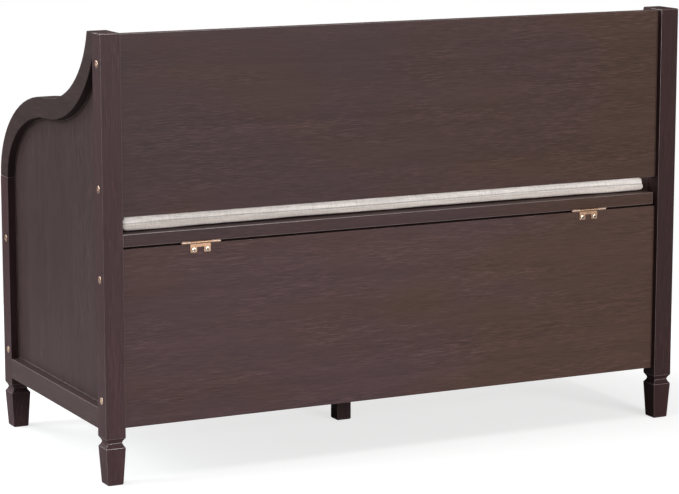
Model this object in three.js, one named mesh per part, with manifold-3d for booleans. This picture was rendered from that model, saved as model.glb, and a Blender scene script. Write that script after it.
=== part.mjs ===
// Storage bench: a framed box with a lift-up cushioned seat, curved arms and a low back.
//
// Millimetres. X runs along the bench (+X is the sitter's left), Y runs from the front (-Y)
// to the back (+Y), and Z is up. The origin is the centre of the footprint, on the floor.

import * as THREE from 'three';
import { mergeVertices } from 'three/addons/utils/BufferGeometryUtils.js';
import Module from 'manifold-3d';

// ---------------------------------------------------------------- driving dimensions

const WIDTH = 1080;
const DEPTH = 482;
const HEIGHT = 731.5;

// Air left between pieces that rest on, or are let into, one another.
const GAP = 0.3;

// Posts, and the foot turned on the bottom of each.
const POST_WIDTH = 34;
const POST_DEPTH = 35;
const FRONT_POST_TOP = 446;
const FOOT_HEIGHT = 62;
const FOOT_TAPER = 3.5;
const FOOT_CHAMFER = 1.5;
const COVE_HEIGHT = 16;
const COVE_DEPTH = 4.5;
const POST_TOP_CHAMFER = 1.5;

// Arms: a band of constant width that bows over the front post, then sweeps up to the back.
const ARM_BAND = 35;
const ARM_TURN = 250;
const ARM_CREST = 605;
const ARM_SWEEP_REACH = 195;
const ARM_SWEEP_RISE = 155;

// Bottom side rails, side panels and the grooves that hold framed panels.
const SIDE_RAIL_BOTTOM = 90;
const SIDE_RAIL_TOP = 125;
const SIDE_PANEL_INSET = 15;
const SIDE_PANEL_PEAK = 700;
const FRAMED_PANEL_THICKNESS = 9;
const PANEL_TONGUE = 7;
const GROOVE_DEPTH = 8;
const LIP_WIDTH = 1.4;
const LIP_HEIGHT = 2;

// Plain back panels, one behind the store and one behind the sitter.
const BACK_INSET = 10;
const BACK_THICKNESS = 15;
const STORE_BOTTOM = 92;
const STORE_TOP = 384;
const BACKREST_BOTTOM = 436;
const BACKREST_TOP = 729;

// Front of the store: a frame of rails and stiles around two panels.
const FRONT_INSET = 10;
const FRONT_THICKNESS = 20;
const FRONT_END_STILE = 45;
const FRONT_CENTRE_STILE = 60;
const FRONT_TOP_RAIL = 50;
const FRONT_BOTTOM_RAIL = 55;
const FRONT_PANEL_INSET = 17;

// Floor of the store, its supports and the middle foot.
const FLOOR_THICKNESS = 9;
const FLOOR_TOP = 121;
const CLEAT = 20;
const CENTRE_RAIL_WIDTH = 24;
const CENTRE_RAIL_HEIGHT = 24;
const CENTRE_FOOT_WIDTH = 27;
const CENTRE_FOOT_X = -9;
const CENTRE_FOOT_Y = -13;

// Lid, cushion and the pads that the lid closes on.
const LID_BOTTOM = 387.5;
const LID_THICKNESS = 21;
const LID_SIDE_GAP = 3.5;
const CUSHION_THICKNESS = 36;
const CUSHION_FROM_BACK = 26.7;
const CUSHION_FROM_FRONT = 12;
const CUSHION_FROM_SIDE = 43;
const CUSHION_CORNER = 24;
const CUSHION_EDGE = 9;
const BUMPER_RADIUS = 5;
const BUMPER_HEIGHT = LID_BOTTOM - STORE_TOP - 2 * GAP;
const BUMPER_X = 300;

// Frame bolts, driven through the posts into the ends of the panels.
const BOLT_HEAD_RADIUS = 6;
const BOLT_HEAD_THICKNESS = 2;
const BOLT_HEAD_PROUD = 0.8;
const BOLT_SHANK_RADIUS = 3;
const BOLT_LENGTH = 60;
const BOLT_SOCKET = 2.3;
const BOLT_SOCKET_DEPTH = 1.4;
const BOLT_FROM_PANEL_EDGE = 47;

// Butt hinges between the lower back panel and the lid.
const HINGE_X = 368;
const HINGE_AXIS_FROM_BACK = 7.2;
const HINGE_AXIS_Z = 387;
const KNUCKLE_RADIUS = 2.4;
const KNUCKLE_BORE = 1.35;
const HINGE_PIN_RADIUS = 1.2;
const HINGE_LENGTH = 68;
const CENTRE_KNUCKLE = 36;
const LEAF_THICKNESS = 1.2;
const LEAF_STRIP = 8;
const LEAF_DROP = 17;
const LEAF_TAB_WIDTH = 11.5;
const LEAF_TAB_X = 12;
const LID_LEAF_REACH = 30;
const SCREW_DROP = 12.5;
const SCREW_HEAD_RADIUS = 4.2;
const SCREW_HEAD_HEIGHT = 1.5;
const SCREW_RADIUS = 1.6;
const SCREW_LENGTH = 15;
const SCREW_CROSS = { length: 4.6, width: 1.3, depth: 1.2 };

// Soft-close stays: a parallel linkage on each side. The stay's pivot sits at a fixed offset
// from the hinge axis, and its arm is parallel to the line from that axis to the lid pivot.
const STAY_PIVOT_OFFSET = [-50, -70];
const LID_PIVOT_OFFSET = [-190, -11.5];
const STAY_BODY = { from: 24.3, to: 44.3, width: 34, height: 60, corner: 8 };
const STAY_ARM = { from: 45, to: 49, width: 15 };
const STAY_LINK = { from: 50, to: 53, width: 12 };
const STAY_EAR = { from: 54, to: 57, width: 14 };
const STAY_SHAFT_RADIUS = 4;
const STAY_STUD_RADIUS = 3;
const STAY_PLATE = { length: 46, width: 22, thickness: 2.6 };

const ROUND = 16;
const ARC = 8;

// ---------------------------------------------------------------- materials

const wood = new THREE.MeshStandardMaterial({ color: 0x35231d, roughness: 0.45, metalness: 0 });
const linen = new THREE.MeshStandardMaterial({ color: 0xcfc7ba, roughness: 0.95, metalness: 0 });
const bronze = new THREE.MeshStandardMaterial({ color: 0x7a5a3c, roughness: 0.4, metalness: 0.9 });
const brass = new THREE.MeshStandardMaterial({ color: 0xb98a5e, roughness: 0.35, metalness: 0.9 });
const steel = new THREE.MeshStandardMaterial({ color: 0x8d8f92, roughness: 0.35, metalness: 1 });
const plastic = new THREE.MeshStandardMaterial({ color: 0x1c1c1d, roughness: 0.5, metalness: 0 });
const rubber = new THREE.MeshStandardMaterial({ color: 0x232323, roughness: 0.9, metalness: 0 });

// ---------------------------------------------------------------- solids and booleans

const wasm = await Module();
wasm.setup();

function solidOf(geometry) {
  const bare = geometry.clone();
  bare.deleteAttribute('normal');
  bare.deleteAttribute('uv');
  const merged = mergeVertices(bare, 1e-4);
  return new wasm.Manifold(new wasm.Mesh({
    numProp: 3,
    vertProperties: merged.attributes.position.array,
    triVerts: new Uint32Array(merged.index.array),
  }));
}

function geometryOf(solid) {
  const mesh = solid.getMesh();
  const geometry = new THREE.BufferGeometry();
  geometry.setAttribute('position', new THREE.BufferAttribute(mesh.vertProperties, 3));
  geometry.setIndex(new THREE.BufferAttribute(mesh.triVerts, 1));
  geometry.computeVertexNormals();
  return geometry;
}

function join(...geometries) {
  return geometryOf(geometries.map(solidOf).reduce((whole, piece) => whole.add(piece)));
}

function cut(geometry, ...cutters) {
  return geometryOf(cutters.map(solidOf).reduce((left, cutter) => left.subtract(cutter), solidOf(geometry)));
}

function box(x, y, z) {
  const size = [x, y, z].map(([from, to]) => Math.abs(to - from));
  const middle = [x, y, z].map(([from, to]) => (from + to) / 2);
  return new THREE.BoxGeometry(...size).translate(...middle);
}

// The outline as plain points, without the doubled point where one curve meets the next.
function distinctPoints(points) {
  return points.filter((point, index) => point.distanceTo(points.at(index - 1)) > 0.01);
}

function extrude(outline, depth, curveSegments) {
  const { shape, holes } = outline.extractPoints(curveSegments);
  const plain = new THREE.Shape(distinctPoints(shape));
  plain.holes = holes.map((hole) => new THREE.Path(distinctPoints(hole)));
  return new THREE.ExtrudeGeometry(plain, { depth, bevelEnabled: false });
}

// An outline drawn in Y and Z, pushed along X between two places.
function extrudeX(outline, [from, to], curveSegments = ARC) {
  const geometry = extrude(outline, Math.abs(to - from), curveSegments);
  const axes = [new THREE.Vector3(0, 1, 0), new THREE.Vector3(0, 0, 1), new THREE.Vector3(1, 0, 0)];
  geometry.applyMatrix4(new THREE.Matrix4().makeBasis(...axes));
  return geometry.translate(Math.min(from, to), 0, 0);
}

// An outline drawn in X and Z, pushed along Y between two places.
function extrudeY(outline, [from, to], curveSegments = ARC) {
  const geometry = extrude(outline, Math.abs(to - from), curveSegments);
  return geometry.rotateX(Math.PI / 2).translate(0, Math.max(from, to), 0);
}

// A cylinder along X, between two places, through a point given in Y and Z.
function rodX([from, to], [y, z], radius) {
  const length = Math.abs(to - from);
  const rod = new THREE.CylinderGeometry(radius, radius, length, ROUND).rotateZ(Math.PI / 2);
  return rod.translate((from + to) / 2, y, z);
}

function rodY([from, to], [x, z], radius) {
  const length = Math.abs(to - from);
  const rod = new THREE.CylinderGeometry(radius, radius, length, ROUND);
  return rod.translate(x, (from + to) / 2, z);
}

function roundedRectangle([x0, x1], [y0, y1], radius) {
  const shape = new THREE.Shape();
  shape.absarc(x1 - radius, y0 + radius, radius, -Math.PI / 2, 0);
  shape.absarc(x1 - radius, y1 - radius, radius, 0, Math.PI / 2);
  shape.absarc(x0 + radius, y1 - radius, radius, Math.PI / 2, Math.PI);
  shape.absarc(x0 + radius, y0 + radius, radius, Math.PI, 1.5 * Math.PI);
  shape.closePath();
  return shape;
}

// A flat bar with round ends, from one point to another.
function barOutline([x0, y0], [x1, y1], width) {
  const along = Math.atan2(y1 - y0, x1 - x0);
  const shape = new THREE.Shape();
  shape.absarc(x1, y1, width / 2, along - Math.PI / 2, along + Math.PI / 2);
  shape.absarc(x0, y0, width / 2, along + Math.PI / 2, along + 1.5 * Math.PI);
  shape.closePath();
  return shape;
}

function punch(outline, [x, y], radius) {
  const hole = new THREE.Path();
  hole.absarc(x, y, radius, 0, 2 * Math.PI, true);
  outline.holes.push(hole);
}

function named(name, geometry, material, position = [0, 0, 0]) {
  const mesh = new THREE.Mesh(geometry, material);
  mesh.name = name;
  mesh.position.set(...position);
  return mesh;
}

// ---------------------------------------------------------------- places

const SIDES = [{ name: 'left', sign: 1 }, { name: 'right', sign: -1 }];

const fromBack = (distance) => DEPTH / 2 - distance;
const fromFront = (distance) => distance - DEPTH / 2;
const fromSide = (side, distance) => side.sign * (WIDTH / 2 - distance);
const acrossSide = (side, from, to) => [fromSide(side, from), fromSide(side, to)];

const innerSpan = [-(WIDTH / 2 - POST_WIDTH - GAP), WIDTH / 2 - POST_WIDTH - GAP];
const backSpan = [fromBack(BACK_INSET + BACK_THICKNESS), fromBack(BACK_INSET)];
const frontSpan = [fromFront(FRONT_INSET), fromFront(FRONT_INSET + FRONT_THICKNESS)];
const backMiddle = (backSpan[0] + backSpan[1]) / 2;
const frontMiddle = (frontSpan[0] + frontSpan[1]) / 2;
const storeBolts = [STORE_BOTTOM + BOLT_FROM_PANEL_EDGE, STORE_TOP - BOLT_FROM_PANEL_EDGE];
const backrestBolts = [BACKREST_BOTTOM + BOLT_FROM_PANEL_EDGE, BACKREST_TOP - BOLT_FROM_PANEL_EDGE];
const hingeAxis = [fromBack(HINGE_AXIS_FROM_BACK), HINGE_AXIS_Z];

// ---------------------------------------------------------------- posts and feet

// Half the width of the post at each height, over the tapered foot and the cove above it.
function footProfile(top, topChamfer) {
  const half = POST_WIDTH / 2;
  const steps = 8;
  const points = [
    [0, 0],
    [half - FOOT_TAPER - FOOT_CHAMFER, 0],
    [half - FOOT_TAPER, FOOT_CHAMFER],
  ];
  for (let step = 0; step <= steps; step += 1) {
    const t = step / steps;
    const depth = COVE_DEPTH * (1 - Math.abs(2 * t - 1) ** 1.5);
    points.push([half - depth, FOOT_HEIGHT + COVE_HEIGHT * t]);
  }
  points.push([half, top - topChamfer], [half - topChamfer, top], [0, top]);
  return points;
}

// A square post is a lathe with four sides, turned so that its faces look along X and Y.
function squareTurned(profile) {
  const points = profile.map(([half, z]) => new THREE.Vector2(half * Math.SQRT2, z));
  return new THREE.LatheGeometry(points, 4).rotateY(Math.PI / 4).rotateX(Math.PI / 2);
}

function squarePost(top, topChamfer = POST_TOP_CHAMFER) {
  return squareTurned(footProfile(top, topChamfer)).scale(1, POST_DEPTH / POST_WIDTH, 1);
}

// A clearance hole along X with a shallow seat for the head, opening on the outer face.
function boltHole(side, y, z) {
  const sunk = BOLT_HEAD_THICKNESS - BOLT_HEAD_PROUD + GAP;
  const seat = rodX(acrossSide(side, -1, sunk), [y, z], BOLT_HEAD_RADIUS + GAP);
  const bore = rodX(acrossSide(side, 0, POST_WIDTH + 1), [y, z], BOLT_SHANK_RADIUS + GAP);
  return [seat, bore];
}

function boltSocket(side, y, z) {
  const end = BOLT_LENGTH + BOLT_HEAD_THICKNESS;
  return rodX(acrossSide(side, POST_WIDTH - 1, end), [y, z], BOLT_SHANK_RADIUS + GAP);
}

function makePost(side, end) {
  const isBack = end === 'rear';
  const top = isBack ? HEIGHT : FRONT_POST_TOP - GAP;
  const y = isBack ? fromBack(POST_DEPTH / 2) : fromFront(POST_DEPTH / 2);
  const boltY = isBack ? backMiddle : frontMiddle;
  const heights = isBack ? [...storeBolts, ...backrestBolts] : storeBolts;
  const topChamfer = isBack ? POST_TOP_CHAMFER : GAP;
  const blank = squarePost(top, topChamfer).translate(fromSide(side, POST_WIDTH / 2), y, 0);
  const holes = heights.flatMap((z) => boltHole(side, boltY, z));
  const geometry = cut(blank, sideGroove(side), ...holes);
  return named(`${end}_${side.name}_post`, geometry, wood);
}

// ---------------------------------------------------------------- side frames

// Where an ellipse about the sweep's centre crosses a given Y.
function sweepAngle(reach, y) {
  return -Math.acos((y - fromBack(ARM_TURN)) / reach);
}

function armOutline() {
  const turn = fromBack(ARM_TURN);
  const bow = [DEPTH - ARM_TURN, ARM_CREST - FRONT_POST_TOP];
  const sweepZ = ARM_CREST + ARM_SWEEP_RISE;
  const outer = [ARM_SWEEP_REACH, ARM_SWEEP_RISE];
  const inner = [ARM_SWEEP_REACH + ARM_BAND, ARM_SWEEP_RISE + ARM_BAND];
  const end = fromBack(POST_DEPTH + GAP);
  const outerEnd = Math.asin((HEIGHT - sweepZ) / outer[1]);
  const shape = new THREE.Shape();
  shape.absellipse(turn, FRONT_POST_TOP, bow[0], bow[1], Math.PI, Math.PI / 2, true);
  shape.absellipse(turn, sweepZ, outer[0], outer[1], -Math.PI / 2, outerEnd);
  shape.lineTo(end, HEIGHT);
  shape.absellipse(turn, sweepZ, inner[0], inner[1], sweepAngle(inner[0], end), -Math.PI / 2, true);
  shape.absellipse(turn, FRONT_POST_TOP, bow[0] - ARM_BAND, bow[1] - ARM_BAND, Math.PI / 2, Math.PI);
  shape.closePath();
  return shape;
}

// The opening inside posts, rail and arm, grown outwards by some distance.
function sideOpening(grow) {
  const turn = fromBack(ARM_TURN);
  const back = fromBack(POST_DEPTH) + grow;
  const front = fromFront(POST_DEPTH) - grow;
  const bottom = SIDE_RAIL_TOP - grow;
  const bow = [turn - front, ARM_CREST - ARM_BAND - FRONT_POST_TOP + grow];
  const sweepZ = ARM_CREST + ARM_SWEEP_RISE;
  const sweep = [ARM_SWEEP_REACH + ARM_BAND - grow, ARM_SWEEP_RISE + ARM_BAND - grow];
  const fall = Math.sqrt(Math.max(0, 1 - ((back - turn) / sweep[0]) ** 2));
  const peak = Math.min(SIDE_PANEL_PEAK, sweepZ - sweep[1] * fall);
  const peakAngle = Math.asin((peak - sweepZ) / sweep[1]);
  const shape = new THREE.Shape();
  shape.moveTo(back, bottom);
  shape.lineTo(back, peak);
  shape.absellipse(turn, sweepZ, ...sweep, peakAngle, -Math.PI / 2, true);
  shape.absellipse(turn, FRONT_POST_TOP, ...bow, Math.PI / 2, Math.PI);
  shape.lineTo(front, bottom);
  shape.closePath();
  return shape;
}

function sideGroove(side) {
  const inner = SIDE_PANEL_INSET + FRAMED_PANEL_THICKNESS + GAP;
  return extrudeX(sideOpening(GROOVE_DEPTH), acrossSide(side, SIDE_PANEL_INSET - GAP, inner));
}

// A panel with a tongue all round and a thin raised lip standing at the edge of its field.
function makeSidePanel(side) {
  const face = SIDE_PANEL_INSET;
  const lipTop = face - LIP_HEIGHT;
  const sheet = extrudeX(sideOpening(PANEL_TONGUE), acrossSide(side, face, face + FRAMED_PANEL_THICKNESS));
  const raised = extrudeX(sideOpening(-GAP), acrossSide(side, lipTop, face + 1));
  const field = extrudeX(sideOpening(-GAP - LIP_WIDTH), acrossSide(side, lipTop - 1, face));
  return named(`${side.name}_side_panel`, cut(join(sheet, raised), field), wood);
}

function makeArm(side) {
  const blank = extrudeX(armOutline(), acrossSide(side, 0, POST_WIDTH));
  return named(`${side.name}_arm`, cut(blank, sideGroove(side)), wood);
}

function makeSideRail(side) {
  const y = [fromFront(POST_DEPTH + GAP), fromBack(POST_DEPTH + GAP)];
  const blank = box(acrossSide(side, 0, POST_WIDTH), y, [SIDE_RAIL_BOTTOM, SIDE_RAIL_TOP]);
  return named(`${side.name}_bottom_rail`, cut(blank, sideGroove(side)), wood);
}

// ---------------------------------------------------------------- back panels

function makeBackPanel(name, z, boltHeights, extraHoles) {
  const sockets = SIDES.flatMap((side) => boltHeights.map((height) => boltSocket(side, backMiddle, height)));
  return named(name, cut(box(innerSpan, backSpan, z), ...sockets, ...extraHoles), wood);
}

function hingeScrewPlaces() {
  const z = HINGE_AXIS_Z - SCREW_DROP;
  return [HINGE_X, -HINGE_X].flatMap((x) => [[x + LEAF_TAB_X, z], [x - LEAF_TAB_X, z]]);
}

function hingeScrewHoles() {
  const y = [fromBack(BACK_INSET - 1), fromBack(BACK_INSET + SCREW_LENGTH - 1.5)];
  return hingeScrewPlaces().map((place) => rodY(y, place, SCREW_RADIUS + GAP));
}

// ---------------------------------------------------------------- front of the store

const FRONT_OPENINGS = [
  { name: 'left', x: [FRONT_CENTRE_STILE / 2, innerSpan[1] - FRONT_END_STILE] },
  { name: 'right', x: [innerSpan[0] + FRONT_END_STILE, -FRONT_CENTRE_STILE / 2] },
];
const FRONT_OPENING_Z = [STORE_BOTTOM + FRONT_BOTTOM_RAIL, STORE_TOP - FRONT_TOP_RAIL];

function frontOpening(opening, grow) {
  const [x0, x1] = opening.x;
  const [z0, z1] = FRONT_OPENING_Z;
  const shape = new THREE.Shape();
  shape.moveTo(x0 - grow, z0 - grow);
  shape.lineTo(x1 + grow, z0 - grow);
  shape.lineTo(x1 + grow, z1 + grow);
  shape.lineTo(x0 - grow, z1 + grow);
  shape.closePath();
  return shape;
}

function frontGrooves() {
  const y = [FRONT_PANEL_INSET - GAP, FRONT_PANEL_INSET + FRAMED_PANEL_THICKNESS + GAP].map(fromFront);
  return FRONT_OPENINGS.map((opening) => extrudeY(frontOpening(opening, GROOVE_DEPTH), y));
}

function makeFrontPanel(opening) {
  const face = FRONT_PANEL_INSET;
  const span = (from, to) => [fromFront(from), fromFront(to)];
  const sheet = extrudeY(frontOpening(opening, PANEL_TONGUE), span(face, face + FRAMED_PANEL_THICKNESS));
  const raised = extrudeY(frontOpening(opening, -GAP), span(face - LIP_HEIGHT, face + 1));
  const field = extrudeY(frontOpening(opening, -GAP - LIP_WIDTH), span(face - LIP_HEIGHT - 1, face));
  return named(`front_${opening.name}_panel`, cut(join(sheet, raised), field), wood);
}

function makeFrontFrame() {
  const endStile = (side) => {
    const x = acrossSide(side, POST_WIDTH + GAP, POST_WIDTH + GAP + FRONT_END_STILE);
    const sockets = storeBolts.map((z) => boltSocket(side, frontMiddle, z));
    const blank = box(x, frontSpan, [STORE_BOTTOM, STORE_TOP]);
    return named(`front_${side.name}_stile`, cut(blank, ...frontGrooves(), ...sockets), wood);
  };
  const piece = (name, x, z) => named(name, cut(box(x, frontSpan, z), ...frontGrooves()), wood);
  const railX = [innerSpan[0] + FRONT_END_STILE + GAP, innerSpan[1] - FRONT_END_STILE - GAP];
  const centreX = [-FRONT_CENTRE_STILE / 2, FRONT_CENTRE_STILE / 2];
  const centreZ = [FRONT_OPENING_Z[0] + GAP, FRONT_OPENING_Z[1] - GAP];
  return [
    ...SIDES.map(endStile),
    piece('front_top_rail', railX, [FRONT_OPENING_Z[1], STORE_TOP]),
    piece('front_bottom_rail', railX, [STORE_BOTTOM, FRONT_OPENING_Z[0]]),
    piece('front_centre_stile', centreX, centreZ),
    ...FRONT_OPENINGS.map(makeFrontPanel),
  ];
}

// ---------------------------------------------------------------- floor of the store

function makeFloor() {
  const underside = FLOOR_TOP - FLOOR_THICKNESS;
  const y = [frontSpan[1] + GAP, backSpan[0] - GAP];
  const cleatZ = [underside - GAP - CLEAT, underside - GAP];
  const half = CENTRE_FOOT_WIDTH / 2;
  const railX = [CENTRE_FOOT_X + half + GAP, CENTRE_FOOT_X + half + GAP + CENTRE_RAIL_WIDTH];
  const railY = [y[0] + CLEAT + GAP, y[1] - CLEAT - GAP];
  const railZ = [underside - GAP - CENTRE_RAIL_HEIGHT, underside - GAP];
  const footTop = underside - GAP;
  const footOutline = [[0, 0], [half - FOOT_CHAMFER, 0], [half, FOOT_CHAMFER], [half, footTop], [0, footTop]];
  return [
    named('floor_panel', box(innerSpan, y, [underside, FLOOR_TOP]), wood),
    named('rear_cleat', box(innerSpan, [y[1] - CLEAT, y[1]], cleatZ), wood),
    named('front_cleat', box(innerSpan, [y[0], y[0] + CLEAT], cleatZ), wood),
    named('centre_rail', box(railX, railY, railZ), wood),
    named('centre_foot', squareTurned(footOutline), wood, [CENTRE_FOOT_X, CENTRE_FOOT_Y, 0]),
  ];
}

// ---------------------------------------------------------------- bolts

function boltGeometry() {
  const bevel = 0.5;
  const under = BOLT_HEAD_PROUD - BOLT_HEAD_THICKNESS;
  const tip = under - BOLT_LENGTH;
  const profile = [
    [0, tip],
    [BOLT_SHANK_RADIUS - 1, tip],
    [BOLT_SHANK_RADIUS, tip + 1],
    [BOLT_SHANK_RADIUS, under],
    [BOLT_HEAD_RADIUS, under],
    [BOLT_HEAD_RADIUS, BOLT_HEAD_PROUD - bevel],
    [BOLT_HEAD_RADIUS - bevel, BOLT_HEAD_PROUD],
    [0, BOLT_HEAD_PROUD],
  ].map(([radius, height]) => new THREE.Vector2(radius, height));
  const blank = new THREE.LatheGeometry(profile, ROUND);
  const key = new THREE.CylinderGeometry(BOLT_SOCKET, BOLT_SOCKET, 2 * BOLT_SOCKET_DEPTH, 6);
  return cut(blank, key.translate(0, BOLT_HEAD_PROUD, 0));
}

// Lathes stand along +Y: this lays one over, so that its head looks out of the given side.
function outward(mesh, side) {
  mesh.rotation.z = -side.sign * Math.PI / 2;
  return mesh;
}

function makeBolts() {
  const geometry = boltGeometry();
  const rows = [
    { name: 'rear', y: backMiddle, heights: [...storeBolts, ...backrestBolts] },
    { name: 'front', y: frontMiddle, heights: storeBolts },
  ];
  return SIDES.flatMap((side) => rows.flatMap((row) => row.heights.map((z, index) => {
    const name = `${row.name}_${side.name}_bolt_${index + 1}`;
    return outward(named(name, geometry, bronze, [fromSide(side, 0), row.y, z]), side);
  })));
}

// ---------------------------------------------------------------- hinges

// Each hinge is drawn about its own axis, with the lid towards -Y.
const panelFace = HINGE_AXIS_FROM_BACK - BACK_INSET;
const fixedLeafY = [panelFace + GAP, panelFace + GAP + LEAF_THICKNESS];
const lidUnderside = LID_BOTTOM - HINGE_AXIS_Z;
const lidLeafZ = [lidUnderside - GAP - LEAF_THICKNESS, lidUnderside - GAP];

function knuckle(span) {
  return [rodX(span, [0, 0], KNUCKLE_RADIUS), rodX([span[0] - 1, span[1] + 1], [0, 0], KNUCKLE_BORE)];
}

function fixedLeafGeometry() {
  const half = CENTRE_KNUCKLE / 2;
  const strip = box([-half, half], fixedLeafY, [-LEAF_STRIP, -0.5]);
  const tabs = [-LEAF_TAB_X, LEAF_TAB_X].map((x) => {
    const wide = [x - LEAF_TAB_WIDTH / 2, x + LEAF_TAB_WIDTH / 2];
    const outline = roundedRectangle(wide, [-LEAF_DROP, -LEAF_STRIP + 3], 2);
    punch(outline, [x, -SCREW_DROP], SCREW_RADIUS + GAP);
    return extrudeY(outline, fixedLeafY, 6);
  });
  const [barrel, bore] = knuckle([-half, half]);
  return cut(join(barrel, strip, ...tabs), bore);
}

function lidLeafGeometry() {
  const end = HINGE_LENGTH / 2;
  const half = CENTRE_KNUCKLE / 2 + GAP;
  const plate = box([-end, end], [panelFace - LID_LEAF_REACH, 0], lidLeafZ);
  const notch = box([-half, half], [panelFace - 0.4, 5], [-5, 5]);
  const [leftBarrel, leftBore] = knuckle([half, end]);
  const [rightBarrel, rightBore] = knuckle([-end, -half]);
  return cut(join(plate, leftBarrel, rightBarrel), notch, leftBore, rightBore);
}

function screwGeometry() {
  const profile = [
    [0, -SCREW_LENGTH],
    [SCREW_RADIUS, -SCREW_LENGTH + 3],
    [SCREW_RADIUS, 0],
    [SCREW_HEAD_RADIUS, 0],
    [SCREW_HEAD_RADIUS, 0.5],
    [SCREW_HEAD_RADIUS - 0.8, SCREW_HEAD_HEIGHT - 0.2],
    [SCREW_HEAD_RADIUS - 1.8, SCREW_HEAD_HEIGHT],
    [0, SCREW_HEAD_HEIGHT],
  ].map(([radius, height]) => new THREE.Vector2(radius, height));
  const blank = new THREE.LatheGeometry(profile, ROUND);
  const { length, width, depth } = SCREW_CROSS;
  const slots = [[length, width], [width, length]].map(([x, z]) => new THREE.BoxGeometry(x, 2 * depth, z));
  return cut(blank, ...slots.map((slot) => slot.translate(0, SCREW_HEAD_HEIGHT, 0)));
}

function makeHinge(side) {
  const hinge = new THREE.Group();
  hinge.position.set(side.sign * HINGE_X, hingeAxis[0], hingeAxis[1]);
  const pin = new THREE.CylinderGeometry(HINGE_PIN_RADIUS, HINGE_PIN_RADIUS, HINGE_LENGTH + 1.5, ROUND);
  hinge.add(named(`${side.name}_hinge_fixed_leaf`, fixedLeafGeometry(), brass));
  hinge.add(named(`${side.name}_hinge_lid_leaf`, lidLeafGeometry(), brass));
  hinge.add(named(`${side.name}_hinge_pin`, pin.rotateZ(Math.PI / 2), brass));
  const screw = screwGeometry();
  [['outer', 1], ['inner', -1]].forEach(([name, sign]) => {
    const place = [side.sign * sign * LEAF_TAB_X, fixedLeafY[1] + 0.15, -SCREW_DROP];
    hinge.add(named(`${side.name}_hinge_${name}_screw`, screw, brass, place));
  });
  return hinge;
}

// ---------------------------------------------------------------- lid and cushion

function makeLid() {
  const half = WIDTH / 2 - POST_WIDTH - LID_SIDE_GAP;
  const height = [LID_BOTTOM, LID_BOTTOM + LID_THICKNESS];
  const blank = box([-half, half], [fromFront(0), fromBack(BACK_INSET)], height);
  return named('lid', blank, wood);
}

function makeCushion() {
  const half = WIDTH / 2 - CUSHION_FROM_SIDE;
  const x = [-half + CUSHION_EDGE, half - CUSHION_EDGE];
  const y = [fromFront(CUSHION_FROM_FRONT + CUSHION_EDGE), fromBack(CUSHION_FROM_BACK + CUSHION_EDGE)];
  const outline = roundedRectangle(x, y, CUSHION_CORNER - CUSHION_EDGE);
  const geometry = new THREE.ExtrudeGeometry(outline, {
    depth: CUSHION_THICKNESS - 2 * CUSHION_EDGE,
    bevelThickness: CUSHION_EDGE,
    bevelSize: CUSHION_EDGE,
    bevelSegments: 2,
    curveSegments: 3,
  });
  return named('seat_cushion', geometry, linen, [0, 0, LID_BOTTOM + LID_THICKNESS + GAP + CUSHION_EDGE]);
}

function makeBumpers() {
  return SIDES.map((side) => {
    const pad = new THREE.CylinderGeometry(BUMPER_RADIUS - 0.5, BUMPER_RADIUS, BUMPER_HEIGHT, ROUND);
    const place = [side.sign * BUMPER_X, frontMiddle, STORE_TOP + GAP + BUMPER_HEIGHT / 2];
    return named(`${side.name}_lid_bumper`, pad.rotateX(Math.PI / 2), rubber, place);
  });
}

// ---------------------------------------------------------------- soft-close stays

const add = ([y0, z0], [y1, z1]) => [y0 + y1, z0 + z1];
const stayPivot = add(hingeAxis, STAY_PIVOT_OFFSET);
const lidPivot = add(hingeAxis, LID_PIVOT_OFFSET);
const elbow = add(stayPivot, LID_PIVOT_OFFSET);

function makeStayBody(side) {
  const [y, z] = stayPivot;
  const across = [y - STAY_BODY.width / 2, y + STAY_BODY.width / 2];
  const upright = [z - STAY_BODY.height / 2, z + STAY_BODY.height / 2];
  const casing = extrudeX(
    roundedRectangle(across, upright, STAY_BODY.corner),
    acrossSide(side, STAY_BODY.from, STAY_BODY.to),
    6,
  );
  const shaft = rodX(acrossSide(side, STAY_BODY.to - 2, STAY_ARM.to + 1.5), stayPivot, STAY_SHAFT_RADIUS);
  return named(`${side.name}_stay_body`, join(casing, shaft), plastic);
}

function makeStayArm(side) {
  const outline = barOutline(stayPivot, elbow, STAY_ARM.width);
  punch(outline, stayPivot, STAY_SHAFT_RADIUS + GAP);
  const bar = extrudeX(outline, acrossSide(side, STAY_ARM.from, STAY_ARM.to), 10);
  const stud = rodX(acrossSide(side, STAY_ARM.to - 2, STAY_LINK.to + 0.7), elbow, STAY_STUD_RADIUS);
  return named(`${side.name}_stay_arm`, join(bar, stud), steel);
}

function makeStayLink(side) {
  const outline = barOutline(elbow, lidPivot, STAY_LINK.width);
  punch(outline, elbow, STAY_STUD_RADIUS + GAP);
  punch(outline, lidPivot, STAY_STUD_RADIUS + GAP);
  const bar = extrudeX(outline, acrossSide(side, STAY_LINK.from, STAY_LINK.to), 10);
  return named(`${side.name}_stay_link`, bar, steel);
}

function makeStayBracket(side) {
  const [y, z] = lidPivot;
  const top = LID_BOTTOM - GAP;
  const ear = extrudeX(
    barOutline(lidPivot, [y, top - STAY_EAR.width / 2], STAY_EAR.width),
    acrossSide(side, STAY_EAR.from, STAY_EAR.to),
    10,
  );
  const plate = box(
    acrossSide(side, STAY_EAR.from, STAY_EAR.from + STAY_PLATE.width),
    [y - STAY_PLATE.length / 2, y + STAY_PLATE.length / 2],
    [top - STAY_PLATE.thickness, top],
  );
  const stud = rodX(acrossSide(side, STAY_LINK.from - 0.7, STAY_EAR.from + 1), lidPivot, STAY_STUD_RADIUS);
  return named(`${side.name}_stay_bracket`, join(ear, plate, stud), steel);
}

// ---------------------------------------------------------------- the bench

const bench = new THREE.Group();

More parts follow.
